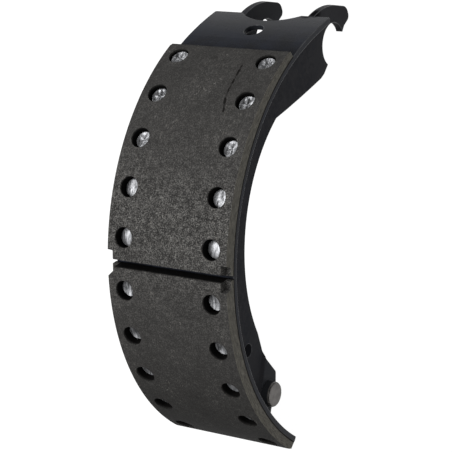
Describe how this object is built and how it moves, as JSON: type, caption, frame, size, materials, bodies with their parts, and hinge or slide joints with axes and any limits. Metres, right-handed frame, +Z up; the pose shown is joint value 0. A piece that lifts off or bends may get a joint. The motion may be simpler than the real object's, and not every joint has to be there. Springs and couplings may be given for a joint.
{
  "type": "drum brake shoe",
  "caption": "Lined two-web drum brake shoe with tapered riveted friction blocks, open anchor seats at one end and hooked roller seats at the cam end.",
  "frame": {"origin": "centre of the bounding box in plan, on the floor the shoe rests on", "axes": "+X across the shoe, parallel to the drum axis; +Y along the arch towards the cam end with its roller horns; +Z up, out of the arch"},
  "size_m": [0.1204, 0.3986, 0.1729],
  "materials": {
    "black_paint": "satin black dip paint over pressed steel",
    "weld_black": "painted weld bead, slightly rippled",
    "friction_lining": "moulded friction material, dry and matt with fine pale flecks",
    "rivet_aluminium": "bright tubular rivets with press marks on the heads",
    "bare_steel": "cut bar end, dull grey-brown"
  },
  "bodies": {
    "root": {"lining_block_anchor": "friction_lining", "lining_block_cam": "friction_lining", "rim_plate": "black_paint", "rivet_anchor_01": "rivet_aluminium", "rivet_anchor_02": "rivet_aluminium", "rivet_anchor_03": "rivet_aluminium", "rivet_anchor_04": "rivet_aluminium", "rivet_anchor_05": "rivet_aluminium", "rivet_anchor_06": "rivet_aluminium", "rivet_anchor_07": "rivet_aluminium", "rivet_anchor_08": "rivet_aluminium", "rivet_anchor_09": "rivet_aluminium", "rivet_anchor_10": "rivet_aluminium", "rivet_cam_01": "rivet_aluminium", "rivet_cam_02": "rivet_aluminium", "rivet_cam_03": "rivet_aluminium", "rivet_cam_04": "rivet_aluminium", "rivet_cam_05": "rivet_aluminium", "rivet_cam_06": "rivet_aluminium", "rivet_cam_07": "rivet_aluminium", "rivet_cam_08": "rivet_aluminium", "rivet_cam_09": "rivet_aluminium", "rivet_cam_10": "rivet_aluminium", "spring_pin": "bare_steel", "web_left": "black_paint", "web_right": "black_paint", "weld_inner_left": "weld_black", "weld_inner_right": "weld_black", "weld_outer_left": "weld_black", "weld_outer_right": "weld_black"}
  },
  "joints": []
}
